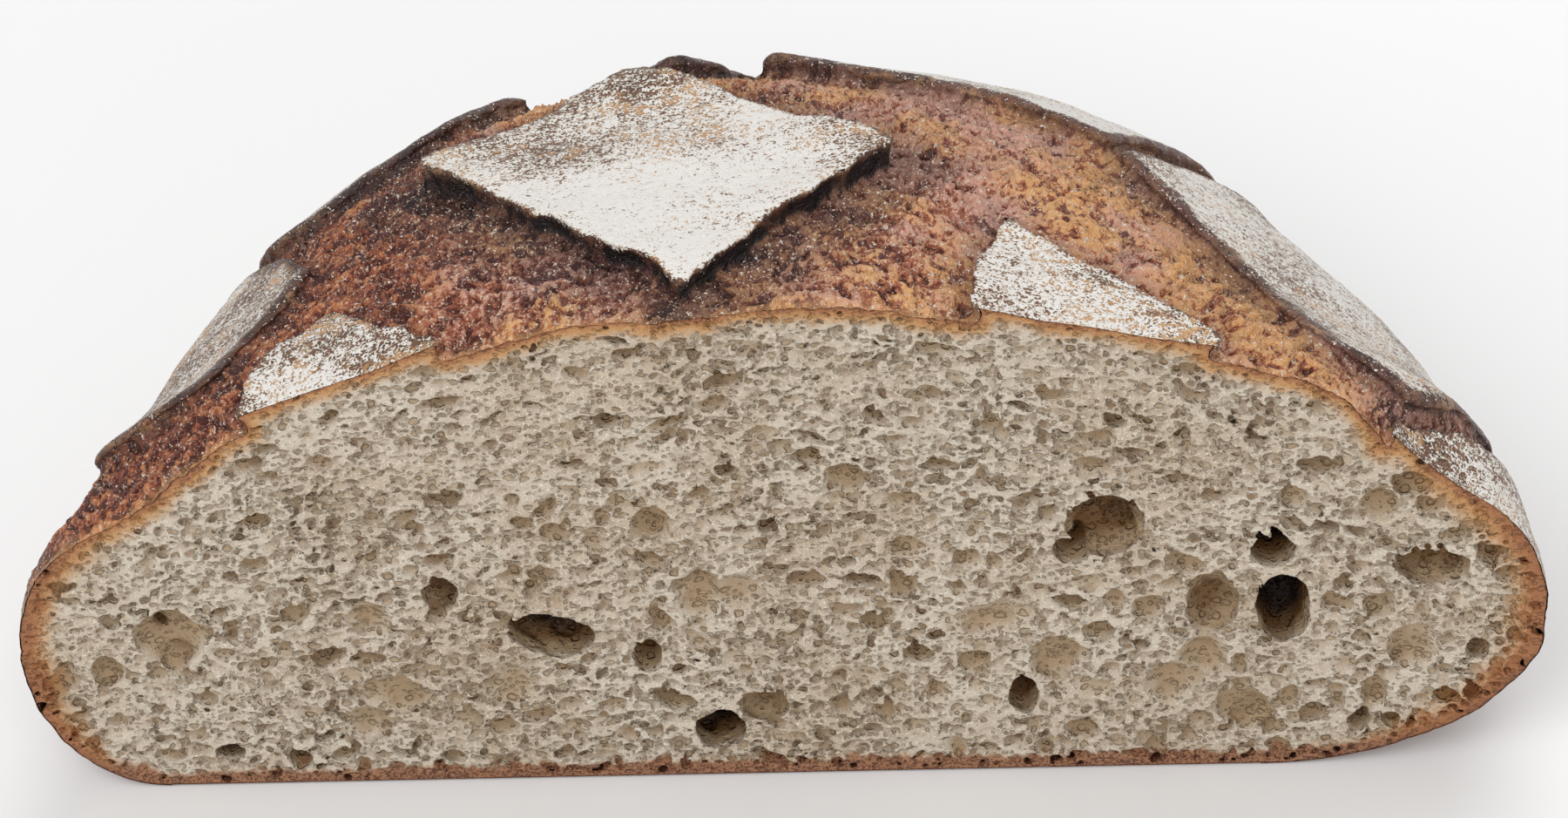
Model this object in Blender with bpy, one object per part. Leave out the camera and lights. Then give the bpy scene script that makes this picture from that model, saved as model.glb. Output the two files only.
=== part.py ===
"""Half of a round sourdough loaf, cut through its middle, as one solid.

The crust is a low dome with a rounded foot and a flat base. Crosswise scores have
opened in the oven into wide torn furrows, and between them stand nine flat plates
of the old skin with lifted edges. The cut face is flat, with the larger crumb
holes as real pits.

Blender script, metres, +Z up. The knife's cut is the plane y = 0 of the loaf's own
numbers below, which are in millimetres, and the loaf lies behind it.
"""

import math

import bmesh
import bpy
import numpy as np
from mathutils import Vector
from mathutils.geometry import delaunay_2d_cdt

# ---------------------------------------------------------------- driving sizes, mm
HALF_WIDTH = 120.0  # half the width of the cut at its widest level
HALF_DEPTH = 116.0  # from the cut to the widest point of the back
HEIGHT = 95.0  # top of the dome, before furrows and plates
SHOULDER = 30.0  # height of the widest level
FOOT_RIGHT = 44.0  # how far the rounded foot reaches in under the widest level
FOOT_LEFT = 22.0
FOOT_BACK = 34.0
DOME_POWER_RIGHT = 2.04  # superellipse power of the dome's profile, 2 is an ellipse
DOME_POWER_LEFT = 1.86
SINK = 1.3  # the dough has sunk this much behind the cut
FLANK_SINK = 5.9  # and this much more on its two flanks
LEFT_TUCK = 6.0  # the lower left flank runs in behind the cut
# Where the crust draws in towards the cut: place across, how far along, how much.
DRAWN_IN = ((-100.0, 15.0, 6.0), (101.0, 13.0, 5.0))

PLATE_LIP = 1.5  # further lift of a plate's edge
LIP_WIDTH = 6.0
FURROW_SWELL = 2.2  # the torn furrow bulges this much between two plates
FURROW_WIDTH = 11.0
FOOT_DIP = 1.0  # crease at the foot of a plate

# Each plate: its rise above the dome, then its corners in order round it, on the
# crust's flat map: the distance from the dome's top in the direction seen from above.
PLATES = {
    "main": (3.6, ((-56, 53), (-22.5, 76), (17, 43), (-14, 5.5))),
    "near_left": (1.8, ((-70, 22), (-50, -2), (-68, -30), (-84, -6), (-80, 12))),
    "near_right": (2.0, ((35, 26), (68, 1), (50, -30), (29, 0))),
    "far_left": (2.6, ((-75, 42), (-91, 17), (-108, 12), (-130, 32), (-104, 76), (-83, 57))),
    "back_left": (3.4, ((-80, 62), (-42, 99), (-66, 138), (-108, 98))),
    "back": (3.4, ((-18, 99), (5, 122), (-12, 150), (-46, 128))),
    "back_right": (3.4, ((-2, 98), (53, 63), (92, 98), (40, 146))),
    "far_right": (3.0, ((55, 57), (85, 14), (101, 9), (136, 30), (106, 92))),
    "near_foot": (1.0, ((97, 3), (112, -24), (142, -20), (136, 20))),
}
PLATE_SLOPE = 1.4  # half the width of the slope down a plate's edge

# Crumb holes deep enough to be pits: x, z of the middle, half width, half height, depth.
PITS = (
    (-36.0, 31.0, 7.1, 4.4, 9.0),
    (-21.0, 26.0, 2.6, 3.7, 6.0),
    (-10.0, 10.0, 4.6, 4.3, 11.0),
    (-3.0, 15.5, 3.6, 3.4, 3.6),
    (-20.0, 54.0, 2.9, 3.5, 2.6),
    (10.0, 63.0, 3.1, 3.4, 2.6),
    (-13.0, 39.0, 4.1, 5.0, 2.4),
    (38.0, 16.0, 2.6, 4.2, 6.0),
    (-96.0, 32.0, 5.3, 6.0, 3.2),
    (-53.0, 40.0, 3.0, 3.9, 5.0),
    (50.0, 52.0, 6.0, 6.6, 5.5),
    (77.0, 46.0, 4.2, 3.7, 9.0),
    (78.0, 34.0, 4.2, 8.0, 11.0),
    (67.0, 35.0, 4.1, 6.0, 4.0),
    (101.0, 42.0, 6.2, 4.2, 4.5),
    (43.0, 24.0, 4.2, 4.6, 2.6),
    (65.0, 22.0, 4.2, 4.3, 2.4),
    (73.0, 12.0, 3.8, 4.6, 2.8),
)

SPACING = 4.7  # between the dome's corners, mm
CLEAR = 2.3  # no free corner is put this close to a plate's edge or a border
FOOT_ROWS = 5
MM = 0.001
SOLID_NAME = "loaf"


# ---------------------------------------------------------------- the plain loaf
def sizes_at(theta):
    """Radius, foot reach and dome power in the direction theta: 0 right, pi left."""
    right = (1.0 + math.cos(theta)) / 2.0
    back = math.sin(theta) ** 2
    radius = 1.0 / math.hypot(math.cos(theta) / HALF_WIDTH, math.sin(theta) / HALF_DEPTH)
    radius *= 1.0 + 0.008 * back * math.sin(3.0 * theta + 0.6)
    foot = (FOOT_RIGHT * right + FOOT_LEFT * (1.0 - right)) * (1.0 - back) + FOOT_BACK * back
    power = DOME_POWER_RIGHT * right + DOME_POWER_LEFT * (1.0 - right)
    return radius, foot, power


def dome_point(theta, v):
    """Point and outward normal of the plain dome: v = 0 at its top, 1 at its widest level."""
    radius, _, power = sizes_at(theta)
    c, s = math.cos(v * math.pi / 2.0), math.sin(v * math.pi / 2.0)
    out, up = max(s, 0.0) ** (2.0 / power), max(c, 0.0) ** (2.0 / power)
    r, z = radius * out, SHOULDER + (HEIGHT - SHOULDER) * up
    nr = out ** (power - 1.0) / radius
    nz = up ** (power - 1.0) / (HEIGHT - SHOULDER)
    size = math.hypot(nr, nz)
    normal = np.array([math.cos(theta) * nr, math.sin(theta) * nr, nz]) / size
    return np.array([r * math.cos(theta), r * math.sin(theta), z]), normal


def foot_point(theta, w):
    """Point and outward normal of the rounded foot: w = 0 at the widest level, 1 on the base."""
    radius, foot, _ = sizes_at(theta)
    a = w * math.pi / 2.0
    r = radius - foot * (1.0 - math.cos(a))
    z = SHOULDER * (1.0 - math.sin(a))
    nr, nz = math.cos(a) / foot, -math.sin(a) / SHOULDER
    size = math.hypot(nr, nz)
    normal = np.array([math.cos(theta) * nr, math.sin(theta) * nr, nz]) / size
    return np.array([r * math.cos(theta), r * math.sin(theta), z]), normal


# ---------------------------------------------------------------- scores and plates
def plate_distance(u, v):
    """How far the map point lies inside the nearest plate, and that plate's rise.

    The distance is negative in a furrow.
    """
    best, rise = -1e9, 0.0
    for up, corners in PLATES.values():
        edges = list(zip(corners, corners[1:] + corners[:1]))
        turn = math.copysign(1.0, sum(ax * by - bx * ay for (ax, ay), (bx, by) in edges))
        inside = 1e9
        for (ax, ay), (bx, by) in edges:
            length = math.hypot(bx - ax, by - ay)
            inward = turn * ((bx - ax) * (v - ay) - (by - ay) * (u - ax)) / length
            inside = min(inside, inward)
        if inside > best:
            best, rise = inside, up
    return best, rise


def smooth(low, high, x):
    t = min(max((x - low) / (high - low), 0.0), 1.0)
    return t * t * (3.0 - 2.0 * t)


def on_map(point):
    """The plain dome's point on the crust's flat map."""
    flat = math.hypot(point[0], point[1])
    if flat < 1e-6:
        return 0.0, 0.0
    chord = math.hypot(flat, HEIGHT - point[2])
    return point[0] * chord / flat, point[1] * chord / flat


def sinking(point):
    """How far the crust has sunk at that point, most of all on the flanks."""
    flank = smooth(45.0, 100.0, abs(point[0] + 4.0))
    low = smooth(SHOULDER - 12.0, SHOULDER + 14.0, point[2])
    sunk = (SINK + FLANK_SINK * flank) * smooth(2.0, 34.0, point[1])
    for x, wide, much in DRAWN_IN:
        sunk += much * math.exp(-(((point[0] - x) / wide) ** 2)) * (1.0 - smooth(0.0, 17.0, point[1]))
    return sunk * low


def crust_height(point):
    """How far the crust stands off the plain form at that point of it."""
    if point[2] <= SHOULDER:
        return -sinking(point)
    d, rise = plate_distance(*on_map(point))
    lip = PLATE_LIP * math.exp(-((max(d, 0.0) / LIP_WIDTH) ** 2))
    on_plate = smooth(-PLATE_SLOPE, PLATE_SLOPE, d)
    away = max(-d, 0.0)
    swell = FURROW_SWELL * (1.0 - math.exp(-((away / FURROW_WIDTH) ** 2)))
    dip = FOOT_DIP * math.exp(-(((away - PLATE_SLOPE) / 2.5) ** 2)) * (1.0 - on_plate)
    on_dome = smooth(SHOULDER, SHOULDER + 22.0, point[2])
    return on_dome * ((rise + lip) * on_plate + swell - dip) - sinking(point)


def finished(point, normal, on_cut):
    """The crust's place over a point of the plain form."""
    if on_cut:
        point, normal = point * np.array([1.0, 0.0, 1.0]), normal * np.array([1.0, 0.0, 1.0])
    place = point + normal * crust_height(point)
    tuck = smooth(2.0, 24.0, point[1]) * (1.0 - smooth(44.0, 60.0, point[2]))
    place[0] += LEFT_TUCK * tuck * smooth(86.0, 112.0, -point[0])
    return place


# ---------------------------------------------------------------- the mesh
def map_reach(theta):
    """How far the flat map goes in that direction: the dome's widest level."""
    point, _ = dome_point(theta, 1.0)
    return math.hypot(*on_map(point))


def dome_at(u, v):
    """Point and normal of the plain dome at a place of the flat map."""
    theta, far = math.atan2(v, u), math.hypot(u, v)
    low, high = 0.0, 1.0
    for _ in range(40):
        share = (low + high) / 2.0
        if math.hypot(*on_map(dome_point(theta, share)[0])) < far:
            low = share
        else:
            high = share
    return dome_point(theta, high)


def moved_in(corners, inward):
    """The convex outline with each side moved in (or out, if negative) by that much."""
    edges = list(zip(corners, corners[1:] + corners[:1]))
    turn = math.copysign(1.0, sum(ax * by - bx * ay for (ax, ay), (bx, by) in edges))
    lines = []
    for (ax, ay), (bx, by) in edges:
        length = math.hypot(bx - ax, by - ay)
        nx, ny = -turn * (by - ay) / length, turn * (bx - ax) / length
        lines.append((nx, ny, nx * ax + ny * ay + inward))
    out = []
    for (ax, ay, ac), (bx, by, bc) in zip(lines[-1:] + lines[:-1], lines):
        det = ax * by - ay * bx
        out.append(((ac * by - bc * ay) / det, (ax * bc - bx * ac) / det))
    return out


def plate_lines():
    """Points along the top and the foot of each plate's edge, with the edges that join
    them, and the places where those lines run out through the cut."""
    points, joins, through = [], [], []

    def inside(p):
        return p[1] > 1.2 and math.hypot(*p) < map_reach(math.atan2(p[1], p[0])) - 3.0

    for _, corners in PLATES.values():
        counts = [
            max(1, round(math.dist(a, b) / SPACING))
            for a, b in zip(corners, corners[1:] + corners[:1])
        ]
        for inward in (PLATE_SLOPE, -PLATE_SLOPE):
            ring = moved_in(corners, inward)
            loop = []
            for a, b, count in zip(ring, ring[1:] + ring[:1], counts):
                for k in range(count):
                    t = k / count
                    loop.append((a[0] + (b[0] - a[0]) * t, a[1] + (b[1] - a[1]) * t))
            number = {}
            for k, p in enumerate(loop):
                if inside(p):
                    number[k] = len(points)
                    points.append(p)
            for k in range(len(loop)):
                m = (k + 1) % len(loop)
                if k in number and m in number:
                    joins.append((number[k], number[m]))
                    continue
                for near, far in ((k, m), (m, k)):
                    if near in number and far not in number and loop[far][1] <= 1.2:
                        p, q = loop[near], loop[far]
                        t = p[1] / (p[1] - q[1])
                        through.append((p[0] + (q[0] - p[0]) * t, number[near]))
    return points, joins, through


def loaf_mesh():
    points, joins, through = plate_lines()

    # The border of the map: the cut's upper edge from right to left, then the dome's
    # widest level from left to right.
    right, left = map_reach(0.0), map_reach(math.pi)
    crossings = sorted(u for u, _ in through)
    count = round((right + left) / SPACING)
    even = [right - (right + left) * k / count for k in range(count + 1)]
    cut_us = [even[0]]
    cut_us += [u for u in even[1:-1] if all(abs(u - c) > 0.45 * SPACING for c in crossings)]
    cut_us = sorted(cut_us + crossings + [even[-1]], reverse=True)
    steps = round(math.pi * (right + left) / 2.0 / (SPACING * 1.05))
    thetas = [math.pi * k / steps for k in range(steps + 1)]
    rim = [(math.cos(t) * map_reach(t), math.sin(t) * map_reach(t)) for t in thetas]
    border = [(u, 0.0) for u in cut_us] + rim[-2:0:-1]
    first = len(points)
    points += border
    ring = [first + k for k in range(len(border))]
    joins += list(zip(ring, ring[1:] + ring[:1]))
    for u, end in through:
        joins.append((first + cut_us.index(u), end))

    # Free corners over the rest, in a triangular pattern.
    row = SPACING * math.sqrt(0.75)
    for j in range(1, int(max(y for _, y in rim) / row) + 1):
        for i in range(-40, 41):
            u, v = (i + 0.5 * (j % 2)) * SPACING, j * row
            d, _ = plate_distance(u, v)
            if v < CLEAR or math.hypot(u, v) > map_reach(math.atan2(v, u)) - CLEAR:
                continue
            if abs(abs(d) - PLATE_SLOPE) < CLEAR * 0.8 or abs(d) < PLATE_SLOPE:
                continue
            points.append((u, v))

    flat, _, faces, _, _, _ = delaunay_2d_cdt(
        [Vector(p) for p in points], joins, [list(reversed(ring))], 1, 1e-5
    )

    bm = bmesh.new()
    made = []
    for u, v in flat:
        point, normal = dome_at(u, max(v, 0.0))
        made.append(bm.verts.new(finished(point, normal, v < 1e-4)))
    for face in faces:
        bm.faces.new([made[k] for k in face])

    on_cut = sorted((k for k, p in enumerate(flat) if p[1] < 1e-4), key=lambda k: -flat[k][0])
    on_rim = []
    for u, v in rim:
        on_rim.append(min(range(len(flat)), key=lambda k: math.dist(flat[k], (u, v))))
    above = [made[k] for k in on_rim]
    side_right, side_left = [above[0]], [above[-1]]
    for level in range(1, FOOT_ROWS + 1):
        below = []
        for n, theta in enumerate(thetas):
            point, normal = foot_point(theta, level / FOOT_ROWS)
            below.append(bm.verts.new(finished(point, normal, n in (0, len(thetas) - 1))))
        for n in range(len(thetas) - 1):
            bm.faces.new((above[n + 1], above[n], below[n], below[n + 1]))
        above = below
        side_right.append(below[0])
        side_left.append(below[-1])
    bm.faces.new(list(reversed(above)))  # the flat base, closed along the cut's lower edge
    cut_edge = side_right[::-1] + [made[k] for k in on_cut[1:-1]] + side_left
    bm.faces.new(cut_edge)  # the cut face
    bmesh.ops.recalc_face_normals(bm, faces=bm.faces)
    bmesh.ops.triangulate(bm, faces=[f for f in bm.faces if len(f.verts) > 4])
    return bm


def pit_mesh():
    """Every pit's cutter in one mesh: lens-shaped bodies that don't touch one another."""
    bm = bmesh.new()
    for x, z, wide, high, deep in PITS:
        made = bmesh.ops.create_uvsphere(bm, u_segments=14, v_segments=8, radius=1.0)
        for vert in made["verts"]:
            # The sphere's pole points into the loaf, so that the rim is an even ring.
            px, py, pz = vert.co
            lean = 1.0 + 0.07 * math.sin(3.0 * math.atan2(py, px) + x)
            vert.co = (x + wide * px * lean, deep * pz, z + high * py * lean)
    bmesh.ops.recalc_face_normals(bm, faces=bm.faces)
    return bm


def crust_material():
    material = bpy.data.materials.new("bread")
    material.use_nodes = True
    shader = material.node_tree.nodes["Principled BSDF"]
    shader.inputs["Base Color"].default_value = (0.36, 0.17, 0.08, 1.0)
    shader.inputs["Roughness"].default_value = 0.8
    shader.inputs["Metallic"].default_value = 0.0
    return material


def object_from(bm, name):
    mesh = bpy.data.meshes.new(name)
    bm.to_mesh(mesh)
    bm.free()
    made = bpy.data.objects.new(name, mesh)
    bpy.context.scene.collection.objects.link(made)
    return made


def main():
    for old in list(bpy.data.objects):
        bpy.data.objects.remove(old)

    body = loaf_mesh()
    points = np.array([vert.co for vert in body.verts])
    middle = (points.min(axis=0) + points.max(axis=0)) / 2.0
    # The origin is under the middle of the part's box, on the surface it stands on.
    shift = np.array([-middle[0], -middle[1], -points[:, 2].min()])
    print("shift of the loaf's own numbers, mm:", [round(float(s), 3) for s in shift])

    pits = pit_mesh()
    for bm in (body, pits):
        for vert in bm.verts:
            vert.co = [(vert.co[k] + shift[k]) * MM for k in range(3)]

    loaf = object_from(body, SOLID_NAME)
    cutter = object_from(pits, "pits")
    cutter.hide_render = True
    cutter.display_type = "WIRE"
    cut = loaf.modifiers.new("crumb holes", "BOOLEAN")
    cut.operation = "DIFFERENCE"
    cut.object = cutter
    loaf.data.materials.append(crust_material())
    loaf.data.shade_smooth()
    loaf.data.set_sharp_from_angle(angle=math.radians(50.0))


main()
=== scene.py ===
"""The looks of the half sourdough loaf: open crumb on the cut face, torn furrows and
floured plates on the crust, soft white studio light on a pale floor.

Everything is made from named sizes and seeded noise. The loaf's own numbers are in
millimetres, with the knife's cut at y = 0, the loaf behind it and the base at z = 0.
"""

import math

import bpy
import numpy as np
from mathutils import Matrix, Vector


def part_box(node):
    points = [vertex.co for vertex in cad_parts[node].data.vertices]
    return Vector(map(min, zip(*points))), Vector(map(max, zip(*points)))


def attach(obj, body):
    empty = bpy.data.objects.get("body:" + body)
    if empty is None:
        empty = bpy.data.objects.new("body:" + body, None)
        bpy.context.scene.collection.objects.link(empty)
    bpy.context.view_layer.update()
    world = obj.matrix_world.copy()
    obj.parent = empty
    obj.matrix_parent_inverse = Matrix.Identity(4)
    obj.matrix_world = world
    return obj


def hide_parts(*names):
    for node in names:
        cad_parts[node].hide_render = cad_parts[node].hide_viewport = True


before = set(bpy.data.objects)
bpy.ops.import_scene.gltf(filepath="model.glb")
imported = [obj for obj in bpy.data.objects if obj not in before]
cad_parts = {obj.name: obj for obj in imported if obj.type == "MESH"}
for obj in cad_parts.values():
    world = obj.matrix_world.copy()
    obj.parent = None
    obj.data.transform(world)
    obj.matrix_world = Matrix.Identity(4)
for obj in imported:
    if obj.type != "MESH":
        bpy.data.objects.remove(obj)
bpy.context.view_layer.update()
MM = 0.001
SEED = 11

# ---------------------------------------------------------------- sizes, mm
HALF_WIDTH = 120.0
HALF_DEPTH = 116.0
HEIGHT = 95.0
SHOULDER = 30.0
FOOT_RIGHT, FOOT_LEFT, FOOT_BACK = 44.0, 22.0, 34.0
DOME_POWER_RIGHT, DOME_POWER_LEFT = 2.04, 1.86
SINK, FLANK_SINK = 1.3, 5.9
LEFT_TUCK = 6.0  # the lower left flank runs in behind the cut
# Where the crust draws in towards the cut: place across, how far along, how much.
DRAWN_IN = ((-100.0, 15.0, 6.0), (101.0, 13.0, 5.0))
PLATES = (
    ("main", 3.8, ((-56, 53), (-22.5, 76), (17, 43), (-14, 5.5))),
    ("near_left", 1.8, ((-70, 22), (-50, -2), (-68, -30), (-84, -6), (-80, 12))),
    ("near_right", 2.0, ((35, 26), (68, 1), (50, -30), (29, 0))),
    ("far_left", 2.6, ((-75, 42), (-91, 17), (-108, 12), (-130, 32), (-104, 76), (-83, 57))),
    ("back_left", 3.4, ((-80, 62), (-42, 99), (-66, 138), (-108, 98))),
    ("back", 3.4, ((-18, 99), (5, 122), (-12, 150), (-46, 128))),
    ("back_right", 3.4, ((-2, 98), (53, 63), (92, 98), (40, 146))),
    ("far_right", 3.0, ((55, 57), (85, 14), (101, 9), (136, 30), (106, 92))),
    ("near_foot", 1.0, ((97, 3), (112, -24), (142, -20), (136, 20))),
)
# Corners that the oven has curled up further: place on the map, how far round, how high.
CURLED = (
    (-22, 75, 11.0, 2.4), (-56, 53, 12.0, 2.2), (17, 43, 12.0, 1.4), (-2, 98, 15.0, 1.9),
    (-18, 99, 9.0, 1.8), (-42, 99, 14.0, 1.3), (55, 57, 9.0, 0.9),
)

# The larger crumb holes: x, z, half width, half height, depth, lean in degrees.
HOLES = (
    (-36, 31, 7.1, 4.5, 9, -8), (-21, 26, 2.4, 3.7, 6, 0), (-16, 23, 1.4, 1.2, 3, 0),
    (-10, 10, 4.6, 4.3, 12, 0), (-3, 15, 4.0, 3.6, 4, 0), (9, 15, 1.7, 2.4, 2.4, 0),
    (-20, 54, 2.9, 3.5, 3, 0), (10, 63, 3.1, 3.4, 3, 0), (-8, 65, 1.9, 1.4, 4, 0),
    (-2, 53, 1.7, 1.8, 4, 0), (-35, 53, 2.2, 2.3, 2.6, 40), (-13, 39, 4.1, 5.6, 2.2, 0),
    (-7, 39, 3.4, 4.6, 1.9, 0), (19, 48, 3.4, 1.9, 2.6, 0), (21, 25, 2.1, 2.2, 4, 0),
    (19, 40, 2.5, 2.7, 3, 0), (33, 33, 6.5, 3.4, 2.0, 10), (38, 16, 2.6, 4.2, 7, 0),
    (3, 34, 1.8, 1.8, 1.8, 0), (2, 30, 1.6, 1.5, 1.6, 0), (-8, 83, 3.5, 2.0, 3, 15),
    (7, 88, 1.4, 1.3, 2, 0), (-26, 75, 2.2, 1.5, 4, 0), (13, 21, 2.3, 2.0, 1.4, 0),
    (0, 70, 2.0, 1.5, 2, 0), (-43, 21, 3.4, 4.7, 1.9, 0), (-96, 32, 5.3, 6.1, 3.0, 0),
    (-97, 33, 1.0, 1.0, 6.5, 0), (-106, 25, 2.9, 3.2, 3, 0), (-53, 40, 3.0, 3.9, 5.5, 0),
    (-54, 36, 1.6, 1.7, 4, 0), (-66, 39, 1.8, 1.2, 4, 0), (-64, 35, 3.4, 3.9, 2, 0),
    (-88, 7, 2.4, 2.2, 7, 0), (-77, 5, 2.0, 2.6, 5, 0), (-81, 56, 2.8, 1.7, 3, 20),
    (-91, 19, 1.9, 1.6, 2, 0), (-61, 19, 6.1, 4.0, 2.0, -10), (-66, 13, 3.9, 3.6, 1.8, 0),
    (-50, 13, 2.6, 2.8, 1.6, 0), (-78, 29, 1.6, 1.8, 2, 0), (50, 52, 6.0, 6.8, 5.5, 15),
    (45, 47, 2.9, 2.7, 6, 15), (76, 46, 3.9, 3.6, 11, 0), (78, 34, 4.2, 8.0, 12, 0),
    (67, 35, 4.2, 6.1, 4.5, 0), (101, 42, 6.3, 4.3, 4.5, -5), (92, 55, 3.1, 3.4, 3, 0),
    (93, 34, 2.5, 2.7, 2.4, 0), (43, 24, 4.2, 4.7, 2.8, 0), (66, 24, 4.3, 4.3, 2.6, 0),
    (61, 18, 4.0, 4.7, 2.4, 0), (73, 12, 4.3, 5.1, 3.0, 40), (93, 15, 2.6, 3.1, 2.6, 0),
    (72, 22, 1.4, 2.4, 2, 0), (80, 14, 1.7, 2.4, 2, 0), (109, 24, 2.1, 2.2, 4, 0),
    (115, 27, 1.4, 1.6, 3, 0), (105, 14, 2.0, 2.0, 4, 0), (109, 15, 1.8, 2.2, 4, 0),
    (91, 9, 1.9, 2.2, 5, 0), (96, 9, 1.9, 1.6, 4, 0), (99, 25, 4.3, 5.1, 2.2, 0),
    (61, 61, 3.1, 1.6, 2.4, 0), (79, 57, 2.2, 1.9, 2.4, 0), (41, 55, 1.7, 2.1, 2.2, 0),
    (48, 40, 3.1, 1.9, 2.2, 0), (52, 36, 2.2, 2.3, 2.2, 0), (57, 34, 2.5, 3.1, 2.4, 0),
    (48, 70, 3.6, 1.9, 2.2, 0),
)

VOXEL = 0.34
SLAB = 14.0  # how far behind the cut the crumb is modelled
DOME_SQUARES = 610  # across the dome's map
FOOT_ROWS = 56
CRUMB_FACES = 380_000  # in the two halves together


# ---------------------------------------------------------------- seeded noise
def hashed(ix, iy, iz, seed):
    """Numbers in [0, 1) fixed by a lattice corner and the seed."""
    ix, iy, iz = (np.asarray(k).astype(np.int64).astype(np.uint32) for k in (ix, iy, iz))
    h = ix * np.uint32(374761393) ^ iy * np.uint32(668265263) ^ iz * np.uint32(2246822519)
    h = h ^ np.uint32((seed * 3266489917 + 974711) & 0xFFFFFFFF)
    h = (h ^ (h >> np.uint32(13))) * np.uint32(1274126177)
    h = (h ^ (h >> np.uint32(15))) * np.uint32(2246822519)
    return (h ^ (h >> np.uint32(16))).astype(np.float64) / 4294967296.0


def noise(p, seed):
    """Smooth noise in [-1, 1] with features about one unit across, at points (n, 3)."""
    base = np.floor(p)
    f = p - base
    f = f * f * f * (f * (f * 6.0 - 15.0) + 10.0)
    b = base.astype(np.int64)
    total = np.zeros(len(p))
    for dx in (0, 1):
        wx = f[:, 0] if dx else 1.0 - f[:, 0]
        for dy in (0, 1):
            wy = f[:, 1] if dy else 1.0 - f[:, 1]
            for dz in (0, 1):
                wz = f[:, 2] if dz else 1.0 - f[:, 2]
                total += wx * wy * wz * hashed(b[:, 0] + dx, b[:, 1] + dy, b[:, 2] + dz, seed)
    return total * 2.0 - 1.0


def fbm(p, seed, octaves, gain=0.5):
    total, size, weight = np.zeros(len(p)), 1.0, 0.0
    q = np.array(p, dtype=float)
    for k in range(octaves):
        total += size * noise(q, seed + 17 * k)
        weight += size
        size *= gain
        q = q * 2.03 + 13.7
    return total / weight


def ridged(p, seed, octaves, gain=0.55):
    """Creased noise in [0, 1], 1 on the crests."""
    total, size, weight = np.zeros(len(p)), 1.0, 0.0
    q = np.array(p, dtype=float)
    for k in range(octaves):
        total += size * (1.0 - np.abs(noise(q, seed + 17 * k)))
        weight += size
        size *= gain
        q = q * 2.03 + 5.3
    return total / weight


def smooth(low, high, x):
    t = np.clip((x - low) / (high - low), 0.0, 1.0)
    return t * t * (3.0 - 2.0 * t)


def flat3(u, v, w=0.0):
    return np.stack([u, v, np.full_like(u, w)], axis=-1)


# ---------------------------------------------------------------- the loaf's plain form
def sizes_at(theta):
    right = (1.0 + np.cos(theta)) / 2.0
    back = np.sin(theta) ** 2
    radius = 1.0 / np.hypot(np.cos(theta) / HALF_WIDTH, np.sin(theta) / HALF_DEPTH)
    radius = radius * (1.0 + 0.008 * back * np.sin(3.0 * theta + 0.6))
    foot = (FOOT_RIGHT * right + FOOT_LEFT * (1.0 - right)) * (1.0 - back) + FOOT_BACK * back
    power = DOME_POWER_RIGHT * right + DOME_POWER_LEFT * (1.0 - right)
    return radius, foot, power


def around(theta, r, z):
    return np.stack([r * np.cos(theta), r * np.sin(theta), z], axis=-1)


def dome(theta, share):
    """Places and outward normals of the dome: share 0 at its top, 1 at its widest level."""
    radius, _, power = sizes_at(theta)
    a = share * math.pi / 2.0
    out = np.maximum(np.sin(a), 0.0) ** (2.0 / power)
    up = np.maximum(np.cos(a), 0.0) ** (2.0 / power)
    nr = out ** (power - 1.0) / radius
    nz = up ** (power - 1.0) / (HEIGHT - SHOULDER)
    size = np.hypot(nr, nz)
    place = around(theta, radius * out, SHOULDER + (HEIGHT - SHOULDER) * up)
    return place, around(theta, nr / size, nz / size)


def foot(theta, w):
    """Places and outward normals of the rounded foot: w 0 at the widest level, 1 on the base."""
    radius, reach, _ = sizes_at(theta)
    a = w * math.pi / 2.0
    place = around(theta, radius - reach * (1.0 - np.cos(a)), SHOULDER * (1.0 - np.sin(a)))
    nr, nz = np.cos(a) / reach, -np.sin(a) / SHOULDER
    size = np.hypot(nr, nz)
    return place, around(theta, nr / size, nz / size)


def sinking(p):
    """Behind the cut the dough has sunk, most of all on its two flanks."""
    flank = smooth(45.0, 100.0, np.abs(p[:, 0] + 4.0))
    low = smooth(SHOULDER - 12.0, SHOULDER + 14.0, p[:, 2])
    sunk = (SINK + FLANK_SINK * flank) * smooth(2.0, 34.0, p[:, 1])
    for x, wide, much in DRAWN_IN:
        sunk = sunk + much * np.exp(-(((p[:, 0] - x) / wide) ** 2)) * smooth(17.0, 0.0, p[:, 1])
    return sunk * low


def on_map(p):
    far = np.hypot(p[:, 0], p[:, 1])
    chord = np.hypot(far, HEIGHT - p[:, 2])
    k = chord / np.maximum(far, 1e-6)
    return p[:, 0] * k, p[:, 1] * k


def plate_field(u, v):
    """Distance inside the nearest plate, its rise, its number and the way in, on the map."""
    best = np.full(len(u), -1e9)
    rise, which = np.zeros(len(u)), np.zeros(len(u), dtype=int)
    way = np.zeros((len(u), 2))
    for number, (_, up, corners) in enumerate(PLATES):
        edges = list(zip(corners, corners[1:] + corners[:1]))
        turn = math.copysign(1.0, sum(ax * by - bx * ay for (ax, ay), (bx, by) in edges))
        inside, normal = np.full(len(u), 1e9), np.zeros((len(u), 2))
        for (ax, ay), (bx, by) in edges:
            length = math.hypot(bx - ax, by - ay)
            nx, ny = -turn * (by - ay) / length, turn * (bx - ax) / length
            d = nx * (u - ax) + ny * (v - ay)
            nearer = d < inside
            inside[nearer] = d[nearer]
            normal[nearer] = (nx, ny)
        better = inside > best
        best[better], rise[better], which[better] = inside[better], up, number
        way[better] = normal[better]
    return best, rise, which, way


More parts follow.
